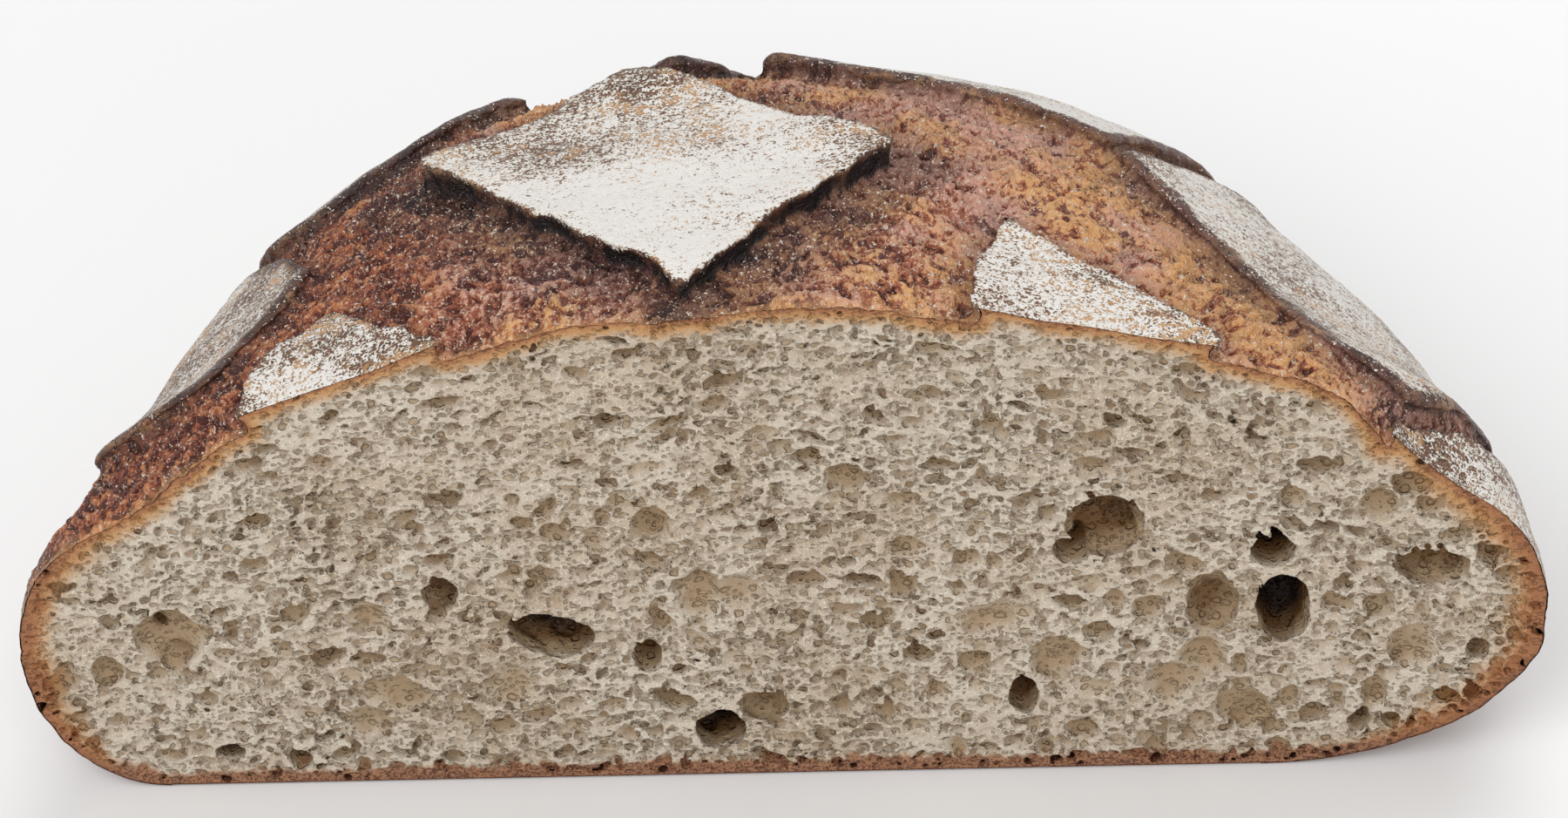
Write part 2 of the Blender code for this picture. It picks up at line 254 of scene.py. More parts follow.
# ---------------------------------------------------------------- the crust's surface
def crust(place, normal):
    """The finished crust over plain places: new places, and what the looks need there."""
    u, v = on_map(place)
    uv = flat3(u, v)
    warp_u = 1.5 * noise(uv / 13.0, SEED + 1) + 0.6 * noise(uv / 4.1, SEED + 2)
    warp_v = 1.5 * noise(uv / 13.0, SEED + 3) + 0.6 * noise(uv / 4.1, SEED + 4)
    d, rise, which, way = plate_field(u + warp_u, v + warp_v)
    far_plate = (which >= 3) & (which <= 7)
    d = d + 0.22 * noise(uv / 1.3, SEED + 5) + 0.30 * noise(uv / 2.8, SEED + 19)
    on_dome = smooth(SHOULDER, SHOULDER + 22.0, place[:, 2])
    sunk = sinking(place)

    slope = np.where(far_plate, 2.6, 0.9)
    on_plate = smooth(-slope, slope, d)
    inside, away = np.maximum(d, 0.0), np.maximum(-d, 0.0)
    curl = (1.0 + 0.55 * noise(uv / 17.0, SEED + 6)) * np.where(far_plate, 0.6, 1.0)
    lip = 1.3 * np.exp(-((inside / 6.0) ** 2)) * curl
    for cu, cv, wide, high in CURLED:
        lip = lip + high * np.exp(-(((u - cu) ** 2 + (v - cv) ** 2) / wide**2))
    swell = 2.4 * (1.0 - np.exp(-((away / 11.0) ** 2)))
    dip = 0.6 * np.exp(-(((away - 1.2) / 2.0) ** 2)) * (1.0 - on_plate)
    # Half of the rise is a rough bank, the rest the skin's own broken edge.
    bank = smooth(-7.5, 0.5, d)
    step = (0.5 * bank + 0.5 * on_plate) * rise + lip * on_plate

    # Torn dough: ragged fibres lying in drifts, with deeper rips between.
    drift = 1.8 * noise(uv / 6.0, SEED + 7)
    s = 0.7071 * (u + v) + drift
    t = 0.7071 * (v - u) + 1.8 * noise(uv / 6.0, SEED + 8)
    strands_a = ridged(flat3(s / 4.2, t / 1.3, 0.3), SEED + 9, 3)
    strands_b = ridged(flat3(t / 4.4, s / 1.4, 7.1), SEED + 10, 3)
    turn = smooth(-0.3, 0.3, noise(uv / 8.0, SEED + 11))
    strands = strands_a * (1.0 - turn) + strands_b * turn
    lumps = fbm(uv / 4.2, SEED + 12, 3)
    rough = ridged(uv / 1.5, SEED + 13, 2)
    torn = 1.5 * (strands - 0.62) / 0.38 + 0.7 * lumps + 0.45 * (rough - 0.62) / 0.38
    open_dough = (1.0 - on_plate) * (0.55 + 0.45 * smooth(0.5, 5.0, away))
    torn_height = 0.85 * torn * open_dough * on_dome * (0.45 + 0.55 * smooth(45.0, 72.0, place[:, 2]))
    torn_height = torn_height * (0.3 + 0.7 * smooth(0.0, 2.2, place[:, 1]))

    # Old skin: nearly smooth, blistered a little, wavy at larger scale.
    skin = 0.35 * fbm(uv / 9.0, SEED + 14, 2) + 0.10 * ridged(uv / 1.6, SEED + 15, 2)
    skin += 0.05 * noise(uv / 0.7, SEED + 16)
    side = 1.0 - on_dome
    lower = (0.5 * fbm(place / 5.0, SEED + 17, 3) + 0.22 * ridged(place / 1.5, SEED + 18, 2) - 0.4) * side
    base_calm = smooth(0.2, 5.0, place[:, 2])

    height = on_dome * (step + swell - dip) - sunk
    height = height + torn_height + skin * on_plate * on_dome + lower * base_calm

    # The plates' edges stand out over the furrow.
    reach = 1.5 * curl * np.exp(-((inside / 4.5) ** 2)) * smooth(-0.3, 1.0, d)
    reach -= 0.6 * np.exp(-(((d + 0.9) / 1.0) ** 2))
    theta = np.arctan2(place[:, 1], place[:, 0])
    c, sn = np.cos(theta), np.sin(theta)
    nr = normal[:, 0] * c + normal[:, 1] * sn
    meridian = np.stack([c * normal[:, 2], sn * normal[:, 2], -nr], axis=-1)
    level = np.stack([-sn, c, np.zeros_like(c)], axis=-1)
    out_r = -(way[:, 0] * c + way[:, 1] * sn)
    out_t = -(-way[:, 0] * sn + way[:, 1] * c)
    sideways = (meridian * out_r[:, None] + level * out_t[:, None]) * (reach * on_dome)[:, None]

    new = place + normal * height[:, None] + sideways
    tuck = smooth(2.0, 24.0, place[:, 1]) * (1.0 - smooth(44.0, 60.0, place[:, 2]))
    new[:, 0] += LEFT_TUCK * tuck * smooth(-86.0, -112.0, place[:, 0])
    new[:, 2] = np.maximum(new[:, 2], 0.0)
    looks = {
        "plate": (on_plate * on_dome),
        "inside": d,
        # crest: the torn dough's height, which the crust's colour turns into painted light on crests and
        # painted shade in hollows.
        "crest": np.clip(0.5 + 0.33 * torn, 0.0, 1.0),
        "which": which,
        "on_dome": on_dome,
        "u": u,
        "v": v,
    }
    return new, looks


def flour_and_burn(looks, place):
    """How much flour lies on the crust, how dark the oven has burnt the plates' edges, and a darker band
    below them that is partly dark bake and partly painted shade, 0 to 1.
    """
    u, v, d, which = looks["u"], looks["v"], looks["inside"], looks["which"]
    uv = flat3(u, v)
    patch = fbm(uv / 12.0, SEED + 21, 3)
    fine = fbm(uv / 2.6, SEED + 22, 2)
    # How well each plate has kept its flour, and thinner towards its far corners.
    kept = np.choose(which, (0.78, 0.47, 0.46, 0.36, 0.36, 0.3, 0.72, 0.54, 0.46))
    main = which == 0
    worn = 0.9 * np.exp(-((u + 47) ** 2 + (v - 56) ** 2) / 15.0**2) + 1.1 * np.exp(
        -((u + 23) ** 2 + (v - 74) ** 2) / 25.0**2
    ) + 0.8 * np.exp(-((u - 15) ** 2 + (v - 43) ** 2) / 12.0**2)
    kept = kept - 0.36 * np.minimum(worn, 1.0) * main
    far_plate = (which >= 3) & (which <= 7)
    starts = np.where(far_plate, 2.0, 0.0)
    flour = smooth(0.0, 1.6, d - starts + 0.7 * fine) * (kept + 0.32 * patch)
    flour = flour * looks["on_dome"] ** 0.5
    low = 0.35 * smooth(26.0, 40.0, place[:, 2]) * (1.0 - looks["on_dome"])
    flour = np.clip(flour + low * np.clip(0.45 + patch, 0.0, 1.0) * (d > 0), 0.0, 1.0)
    # Nearly black on the plates' broken edges; below them, for some way down into the furrow, darker,
    # partly the bank's own dark bake and partly painted shade under the lifted edges.
    edge = np.exp(-(((d + 0.15) / 0.85) ** 2)) * (0.8 + 0.5 * fine)
    black = np.choose(which, (1.0, 0.1, 0.5, 0.3, 0.4, 0.5, 0.5, 0.6, 0.2))
    reach = np.choose(which, (12.0, 3.0, 4.0, 3.5, 6.0, 5.0, 5.0, 5.0, 3.0))
    shade = np.exp(-((np.maximum(-d, 0.0) / reach) ** 2)) * (d < np.where(far_plate, 3.4, 0.3))
    shade = shade * np.clip(0.85 + 0.8 * patch, 0.2, 1.0)
    shade = shade * np.choose(which, (1.0, 0.45, 0.6, 0.55, 0.9, 0.9, 0.8, 0.8, 0.4))
    black = np.clip(edge * black, 0.0, 1.0) * looks["on_dome"]
    return flour, black, np.clip(shade, 0.0, 1.0) * looks["on_dome"]


# ---------------------------------------------------------------- meshes from arrays
def new_mesh_object(name, points, faces, offset):
    """A mesh object from points in the loaf's millimetres and faces of three or four corners."""
    mesh = bpy.data.meshes.new(name)
    corners = faces.shape[1]
    mesh.vertices.add(len(points))
    mesh.vertices.foreach_set("co", ((points + offset) * MM).astype(np.float32).ravel())
    mesh.loops.add(faces.size)
    mesh.loops.foreach_set("vertex_index", faces.astype(np.int32).ravel())
    mesh.polygons.add(len(faces))
    mesh.polygons.foreach_set("loop_start", np.arange(0, faces.size, corners, dtype=np.int32))
    mesh.polygons.foreach_set("use_smooth", np.ones(len(faces), dtype=bool))
    mesh.update(calc_edges=True)
    mesh.validate()
    made = bpy.data.objects.new(name, mesh)
    bpy.context.scene.collection.objects.link(made)
    return made


def points_of(made, offset):
    flat = np.empty(len(made.data.vertices) * 3, dtype=np.float32)
    made.data.vertices.foreach_get("co", flat)
    return flat.reshape(-1, 3).astype(float) / MM - offset


def put(made, name, values):
    layer = made.data.attributes.new(name, "FLOAT", "POINT")
    layer.data.foreach_set("value", np.asarray(values, dtype=np.float32))


def thinned(made, ratio):
    """The same object with fewer faces."""
    if ratio < 1.0:
        cut = made.modifiers.new("thinner", "DECIMATE")
        cut.ratio = ratio
        deps = bpy.context.evaluated_depsgraph_get()
        mesh = bpy.data.meshes.new_from_object(made.evaluated_get(deps))
        made.modifiers.clear()
        old, made.data = made.data, mesh
        bpy.data.meshes.remove(old)
        mesh.polygons.foreach_set("use_smooth", np.ones(len(mesh.polygons), dtype=bool))
    made.data.validate()
    return made


def grid_faces(rows, columns):
    k = np.arange(rows * columns).reshape(rows, columns)
    quads = np.stack([k[:-1, :-1], k[:-1, 1:], k[1:, 1:], k[1:, :-1]], axis=-1)
    return quads.reshape(-1, 4)


# ---------------------------------------------------------------- the crust's pieces
def half_disc(half):
    """Every corner of the square map [-half, half] x [0, half] as (theta, share)."""
    j, i = np.meshgrid(np.arange(half + 1), np.arange(-half, half + 1), indexing="ij")
    a, b = i.ravel() / half, j.ravel() / half
    share = np.maximum(np.abs(a), b)
    safe = np.maximum(share, 1e-9)
    wide = np.abs(a) > b
    turn = (math.pi / 4.0) * np.where(wide, b / safe, a / safe)
    theta = np.where(wide, np.where(a > 0, turn, math.pi - turn), math.pi / 2.0 - turn)
    return np.where(share > 0, theta, math.pi / 2.0), share, j.ravel() == 0


def make_crust(offset):
    half = DOME_SQUARES // 2
    theta, share, on_cut = half_disc(half)
    place, normal = dome(theta, share)
    place[on_cut, 1] = 0.0
    normal[on_cut, 1] = 0.0
    top, looks = crust(place, normal)
    top[on_cut, 1] = 0.0
    top[:, 1] = np.maximum(top[:, 1], 0.0)
    flour, burn, shade = flour_and_burn(looks, place)
    cut_side = np.exp(-((place[:, 1] / 1.5) ** 2)) * looks["on_dome"]
    paler = smooth(-5.0, 50.0, looks["u"]) * smooth(112.0, 60.0, looks["u"])
    paler = paler - 0.8 * smooth(-38.0, -62.0, looks["u"])
    everywhere = {"flour": flour, "burn": burn, "shade": shade, "crest": looks["crest"],
                  "cut_side": cut_side, "paler": paler,
                  "torn": (1.0 - looks["plate"]) * looks["on_dome"], "height": place[:, 2]}
    numbers = np.arange(len(top)).reshape(half + 1, 2 * half + 1)
    domes = []
    for name, part in (("crust_left", numbers[:, :half + 1]), ("crust_right", numbers[:, half:])):
        pick = part.ravel()
        made = new_mesh_object(name, top[pick], grid_faces(half + 1, half + 1), offset)
        for label, values in everywhere.items():
            put(made, label, values[pick])
        domes.append(made)

    # The foot and the base below it, from the right end of the cut round to the left.
    ring = [(half, j) for j in range(half + 1)]
    ring += [(i, half) for i in range(half - 1, -half - 1, -1)]
    ring += [(-half, j) for j in range(half - 1, -1, -1)]
    pick = np.array([j * (2 * half + 1) + i + half for i, j in ring])
    ring_theta = theta[pick]
    levels = np.linspace(0.0, 1.0, FOOT_ROWS + 1)
    w, th = np.meshgrid(levels, ring_theta, indexing="ij")
    side, side_normal = foot(th.ravel(), w.ravel())
    ends = np.tile((np.arange(len(ring)) == 0) | (np.arange(len(ring)) == len(ring) - 1), len(levels))
    side[ends, 1] = 0.0
    side_normal[ends, 1] = 0.0
    low, side_looks = crust(side, side_normal)
    low[ends, 1] = 0.0
    low[:, 1] = np.maximum(low[:, 1], 0.0)
    low[: len(ring)] = top[pick]
    # The base: the last ring drawn in to a line along the cut.
    last = low[-len(ring):]
    inner = []
    shares = np.linspace(1.0, 0.0, 12)[1:]
    for share_in in shares:
        row = last.copy()
        row[:, :2] = last[:, :2] * np.array([1.0, share_in])
        row[:, 0] = last[:, 0] * (1.0 if share_in > 0 else 1.0)
        row[:, 2] = 0.15 * (1.0 - share_in)
        inner.append(row)
    points = np.concatenate([low] + inner)
    flour2, burn2, shade2 = flour_and_burn(side_looks, side)
    extra = len(points) - len(low)
    faces = grid_faces(len(levels) + len(shares), len(ring))[:, ::-1]
    foot_piece = new_mesh_object("crust_side", points, faces, offset)
    tail = np.zeros(extra)
    put(foot_piece, "flour", np.concatenate([flour2, tail]))
    put(foot_piece, "burn", np.concatenate([burn2, tail]))
    put(foot_piece, "shade", np.concatenate([shade2, tail]))
    put(foot_piece, "cut_side", np.zeros(len(points)))
    put(foot_piece, "paler", np.zeros(len(points)))
    put(foot_piece, "crest", np.concatenate([side_looks["crest"], tail + 0.5]))
    put(foot_piece, "torn", np.concatenate([(1.0 - side_looks["plate"]) * side_looks["on_dome"], tail]))
    put(foot_piece, "height", np.concatenate([side[:, 2], tail]))

    # The cut's outline, clockwise from the base's right end over the top to its left end.
    right = low.reshape(len(levels), len(ring), 3)[::-1, 0]
    left = low.reshape(len(levels), len(ring), 3)[:, -1]
    over = top[np.arange(2 * half, -1, -1)]
    outline = np.concatenate([right[:-1], over, left[1:]])[:, [0, 2]]
    return domes + [foot_piece], outline


# ---------------------------------------------------------------- the crumb
def outline_distance(outline, xs, zs):
    """How far each (x, z) of the grid lies inside the cut's outline, in mm."""
    x, z = (k.ravel() for k in np.meshgrid(xs, zs, indexing="ij"))
    best, crossings = np.full(len(x), 1e9), np.zeros(len(x), dtype=bool)
    closed = np.concatenate([outline, outline[:1]])
    for (ax, az), (bx, bz) in zip(closed[:-1], closed[1:]):
        ex, ez = bx - ax, bz - az
        length = ex * ex + ez * ez
        if length < 1e-12:
            continue
        t = np.clip(((x - ax) * ex + (z - az) * ez) / length, 0.0, 1.0)
        best = np.minimum(best, (x - ax - t * ex) ** 2 + (z - az - t * ez) ** 2)
        if az != bz:
            crossings ^= ((az > z) != (bz > z)) & (x < ex * (z - az) / ez + ax)
    return np.where(crossings, np.sqrt(best), -np.sqrt(best)).reshape(len(xs), len(zs))


def stretched(shape, sizes, step, seed):
    """Smooth random field on the grid, with features about step mm across."""
    rng = np.random.default_rng(seed)
    field = None
    spots = []
    for n, size in zip(shape, sizes):
        count = int(size / step) + 4
        at = np.linspace(0.0, size / step, n) + 1.0
        low = np.floor(at).astype(int)
        f = at - low
        w = np.zeros((n, count))
        cubic = ((1 - f) ** 3 / 6, (3 * f**3 - 6 * f**2 + 4) / 6,
                 (-3 * f**3 + 3 * f**2 + 3 * f + 1) / 6, f**3 / 6)
        for k, part in enumerate(cubic):
            np.add.at(w, (np.arange(n), np.minimum(low - 1 + k, count - 1)), part)
        spots.append(w.astype(np.float32))
    field = rng.uniform(-1.0, 1.0, [w.shape[1] for w in spots]).astype(np.float32)
    for axis, w in enumerate(spots):
        field = np.moveaxis(np.tensordot(w, field, axes=(1, axis)), 0, axis)
    return field * 1.7


def openness(x, z):
    """0 in the tight upper crumb, 1 in the open lower right."""
    return np.clip(0.1 + 0.75 * (1.0 - np.clip((z - 18.0) / 60.0, 0.0, 1.0)) + 0.0024 * x, 0.0, 1.0)


def lean_at(x, z):
    """The foam's bubbles lie flat at the middle and lean with the crust at the sides."""
    return -np.arctan(x / HALF_WIDTH * (z / HEIGHT) * 0.95)


def all_pores(rng, gap_at):
    """Every hole of the crumb: centre x, y, z, half sizes x, y, z and lean in radians."""
    pores = []
    for x, z, wide, high, deep, lean in HOLES:
        lean = math.radians(lean)
        deep_in = 0.25 * deep if deep > 3.2 else 0.0
        pores.append((x, deep_in, z, wide, deep - deep_in, high, lean))
        # Smaller bubbles break the big one's wall.
        for _ in range(int(0.5 * wide * min(deep, 6.0) ** 0.5)):
            a, b = rng.uniform(0, 2 * math.pi), rng.uniform(0.15, 1.0)
            r = rng.uniform(0.16, 0.4) * min(wide, high) + 0.25
            rr = math.sqrt(max(1.0 - b * b, 0.0))
            pores.append((
                x + wide * 0.92 * rr * math.cos(a), deep_in + (deep - deep_in) * 0.8 * b,
                z + high * 0.92 * rr * math.sin(a), r * 1.15, r * 0.8, r, 0.0,
            ))

    # Distinct bubbles of one to three millimetres, each clear of the others.
    taken = [(x, z, wide, high) for x, z, wide, high, _, _ in HOLES]
    for size_low, size_high, tries in ((1.7, 2.6, 500), (1.15, 1.7, 1100), (0.75, 1.15, 2600)):
        for _ in range(tries):
            x, z = rng.uniform(-118, 118), rng.uniform(2, 97)
            k = float(openness(x, z))
            r = rng.uniform(size_low, size_high)
            if gap_at(x, z) < r * 1.3 + 1.0 or rng.random() > 0.3 + 0.7 * k:
                continue
            wide = r * rng.uniform(1.0, 1.45)
            high = r * (0.5 + 0.42 * k) * rng.uniform(0.85, 1.15)
            near = np.array(taken)
            room = ((x - near[:, 0]) / (near[:, 2] + wide + 0.35)) ** 2
            room += ((z - near[:, 1]) / (near[:, 3] + high + 0.35)) ** 2
            if room.min() < 1.0:
                continue
            taken.append((x, z, wide, high))
            deep = r * rng.uniform(0.7, 1.5)
            lean = float(lean_at(x, z)) + rng.normal(0, 0.25)
            y = rng.uniform(-0.25, 0.35) * deep
            pores.append((x, y, z, wide, deep, high, lean))
            if rng.random() < 0.5:
                a = rng.uniform(0, 2 * math.pi)
                pores.append((x + 0.7 * wide * math.cos(a), y + 0.3 * deep, z + 0.7 * high * math.sin(a),
                              0.5 * wide, 0.6 * deep, 0.55 * high, lean))

    # The fine foam: small shallow pits on a jittered lattice, flatter and finer above.
    taken = np.array(taken)
    z = 0.8
    while z < 100.0:
        k = float(openness(0.0, z))
        step_z = 1.0 + 0.45 * k
        step_x = 1.75 + 0.1 * k
        x = np.arange(-121.0, 121.0, step_x)
        px = x + rng.uniform(-0.5, 0.5, len(x)) * step_x
        pz = z + rng.uniform(-0.5, 0.5, len(x)) * step_z
        size = 0.24 + 0.20 * rng.random(len(x)) + 0.34 * rng.random(len(x)) ** 4
        depth = rng.uniform(0.5, 1.5, len(x))
        keep = rng.random(len(x)) < 0.84
        turn = lean_at(px, pz) + rng.normal(0, 0.3, len(x))
        y = rng.uniform(-0.3, 0.4, len(x))
        for n in np.nonzero(keep)[0]:
            gap = gap_at(px[n], pz[n])
            if gap < 0.9:
                continue
            rx, rz = size[n] * step_x * 1.15, size[n] * step_z * 1.25
            over = ((px[n] - taken[:, 0]) / (taken[:, 2] + 0.3 * rx)) ** 2
            over += ((pz[n] - taken[:, 1]) / (taken[:, 3] + 0.3 * rz)) ** 2
            if over.min() < 1.0:
                continue
            tight = 0.6 + 0.4 * min(gap / 5.0, 1.0)
            pores.append((px[n], y[n], pz[n], rx * tight, depth[n] * rz * 1.5, rz * tight, turn[n]))
        z += step_z
    return pores


def surface_net(solid, origin, step):
    """Points and quads of the surface where the field passes through nought."""
    inside = solid > 0.0
    nx, ny, nz = solid.shape
    count = np.zeros((nx - 1, ny - 1, nz - 1), dtype=np.uint8)
    for dx in (0, 1):
        for dy in (0, 1):
            for dz in (0, 1):
                count += inside[dx:nx - 1 + dx, dy:ny - 1 + dy, dz:nz - 1 + dz]
    active = (count > 0) & (count < 8)
    ci, cj, ck = np.nonzero(active)
    number = np.full(active.shape, -1, dtype=np.int32)
    number[ci, cj, ck] = np.arange(len(ci), dtype=np.int32)
    corners = {}
    for dx in (0, 1):
        for dy in (0, 1):
            for dz in (0, 1):
                corners[dx, dy, dz] = solid[ci + dx, cj + dy, ck + dz]
    total, hits = np.zeros((len(ci), 3)), np.zeros(len(ci))
    for a in corners:
        for axis in range(3):
            if a[axis]:
                continue
            b = tuple(1 if k == axis else a[k] for k in range(3))
            fa, fb = corners[a], corners[b]
            cross = (fa > 0) != (fb > 0)
            t = np.where(cross, fa / np.where(cross, fa - fb, 1.0), 0.0)
            for k in range(3):
                total[:, k] += np.where(cross, a[k] + (t if k == axis else 0.0), 0.0)
            hits += cross
    points = (np.stack([ci, cj, ck], axis=-1) + total / hits[:, None]) * step + origin
    quads = []
    for axis in range(3):
        a = [slice(1, -1)] * 3
        b = [slice(1, -1)] * 3
        a[axis], b[axis] = slice(0, -1), slice(1, None)
        low, high = inside[tuple(a)], inside[tuple(b)]
        change = low != high
        e = np.stack(np.nonzero(change), axis=-1)
        leaving = low[change]
        shift = [0 if k == axis else 1 for k in range(3)]
        e = e + np.array(shift)
        p, q = [k for k in range(3) if k != axis]
        ring = []
        for dp, dq in ((-1, -1), (0, -1), (0, 0), (-1, 0)):
            c = e.copy()
            c[:, p] += dp
            c[:, q] += dq
            ring.append(number[c[:, 0], c[:, 1], c[:, 2]])
        quad = np.stack(ring, axis=-1)
        flip = leaving if axis != 1 else ~leaving
        quad[~flip] = quad[~flip][:, ::-1]
        quads.append(quad)
    return points, np.concatenate(quads)


def make_crumb(outline, offset):
    rng = np.random.default_rng(SEED)
    low = np.array([-124.0, -2.0, -2.4])
    size = np.array([248.0, SLAB + 2.0, 106.0])
    shape = tuple(int(s / VOXEL) + 1 for s in size)
    xs, ys, zs = (low[k] + VOXEL * np.arange(shape[k], dtype=np.float32) for k in range(3))
    inside_by = outline_distance(outline, xs, zs)

    def outline_at(x, z):
        i = int(round((x - low[0]) / VOXEL))
        k = int(round((z - low[2]) / VOXEL))
        if 0 <= i < shape[0] and 0 <= k < shape[2]:
            return inside_by[i, k]
        return -9.0

    # The knife's plane, a little uneven, then the loaf's outline, drawn in behind it.
    x2, z2 = np.meshgrid(xs, zs, indexing="ij")
    p2 = flat3(x2.ravel().astype(float), z2.ravel().astype(float))
    uneven = 0.5 * fbm(p2 / 14.0, SEED + 31, 3) + 0.24 * noise(p2 / np.array([2.6, 1.7, 1.0]), SEED + 32)
    uneven += 0.16 * noise(p2 / np.array([1.3, 0.8, 1.0]), SEED + 33)
    uneven = uneven.reshape(x2.shape) * smooth(0.0, 4.0, inside_by)
    solid = (ys[None, :, None] + uneven[:, None, :]).astype(np.float32)
    drawn = 0.1 + 0.9 * smooth(0.2, 1.4, ys) + 3.2 * smooth(1.4, 9.0, ys)
    solid = np.minimum(solid, (inside_by[:, None, :] - drawn[None, :, None]).astype(np.float32))

    warp = [0.46 * stretched(shape, size, 1.25, SEED + 41 + k) +
            0.62 * stretched(shape, size, 3.2, SEED + 51 + k) for k in range(3)]
    for cx, cy, cz, rx, ry, rz, lean in all_pores(rng, outline_at):
        room = 1.1
        ex = abs(rx * math.cos(lean)) + abs(rz * math.sin(lean)) + room
        ez = abs(rx * math.sin(lean)) + abs(rz * math.cos(lean)) + room
        ey = ry + room
        i0, i1 = int((cx - ex - low[0]) / VOXEL), int((cx + ex - low[0]) / VOXEL) + 2
        j0, j1 = int((cy - ey - low[1]) / VOXEL), int((cy + ey - low[1]) / VOXEL) + 2
        k0, k1 = int((cz - ez - low[2]) / VOXEL), int((cz + ez - low[2]) / VOXEL) + 2
        i0, j0, k0 = max(i0, 0), max(j0, 0), max(k0, 0)
        if i0 >= i1 or j0 >= j1 or k0 >= k1:
            continue
        box = (slice(i0, i1), slice(j0, j1), slice(k0, k1))
        if solid[box].size == 0:
            continue
        dx = xs[i0:i1, None, None] - np.float32(cx) + warp[0][box]
        dy = ys[None, j0:j1, None] - np.float32(cy) + warp[1][box]
        dz = zs[None, None, k0:k1] - np.float32(cz) + warp[2][box]
        c, s = math.cos(lean), math.sin(lean)
        qx = (dx * c + dz * s) / rx
        qz = (dz * c - dx * s) / rz
        q = np.sqrt(qx * qx + qz * qz + (dy / ry) ** 2)
        gone = (q - 1.0) * min(rx, ry, rz)
        solid[box] = np.minimum(solid[box], gone)

    points, quads = surface_net(solid, low, VOXEL)
    ends = ys[-1] - VOXEL * 1.5
    keep = (points[quads][:, :, 1].max(axis=1) < ends)
    quads = quads[keep]
    print("crumb surface:", len(points), "points", len(quads), "squares")

    pieces = []
    middle = points[quads][:, :, 0].mean(axis=1)
    for name, part in (("crumb_left", middle < 0.0), ("crumb_right", middle >= 0.0)):
        faces = quads[part]
        used, renumbered = np.unique(faces, return_inverse=True)
        made = new_mesh_object(name, points[used], renumbered.reshape(faces.shape), offset)
        made = thinned(made, min(1.0, CRUMB_FACES / 2.0 / (2.0 * len(faces))))
        at = points_of(made, offset)
        i = np.clip((at[:, 0] - low[0]) / VOXEL, 0, shape[0] - 1.001)
        k = np.clip((at[:, 2] - low[2]) / VOXEL, 0, shape[2] - 1.001)
        i0, k0 = i.astype(int), k.astype(int)
        fi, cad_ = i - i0, k - k0
        gap = (inside_by[i0, k0] * (1 - fi) * (1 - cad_) + inside_by[i0 + 1, k0] * fi * (1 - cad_)
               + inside_by[i0, k0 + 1] * (1 - fi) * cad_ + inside_by[i0 + 1, k0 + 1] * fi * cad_)
        put(made, "gap", gap)
        put(made, "deep", np.clip(at[:, 1], 0.0, None))
        # How thick the browned layer is there, from crown to sides to base.
        x, z = at[:, 0], at[:, 2]
        top = smooth(34.0, 60.0, z)
        right = smooth(70.0, 112.0, x) * (1.0 - smooth(52.0, 74.0, z)) * smooth(2.0, 14.0, z)
        left = smooth(-84.0, -112.0, x) * (1.0 - smooth(45.0, 66.0, z)) * smooth(2.0, 14.0, z)
        thick = 3.6 + 0.2 * top + 4.6 * right + 3.2 * left
        uneven_line = fbm(at / 6.0, SEED + 61, 3)
        put(made, "toast", np.clip(1.0 - (gap + 0.9 * uneven_line) / thick, 0.0, 1.0))
        put(made, "crown", top)
        put(made, "sole", smooth(7.0, 2.5, z))
        pieces.append(made)
    return pieces


# ---------------------------------------------------------------- materials
def linear(r, g, b):
    """A colour given as it looks on screen, 0 to 255, for a shader."""
    def one(c):
        c /= 255.0
        return c / 12.92 if c <= 0.04045 else ((c + 0.055) / 1.055) ** 2.4
    return (one(r), one(g), one(b), 1.0)


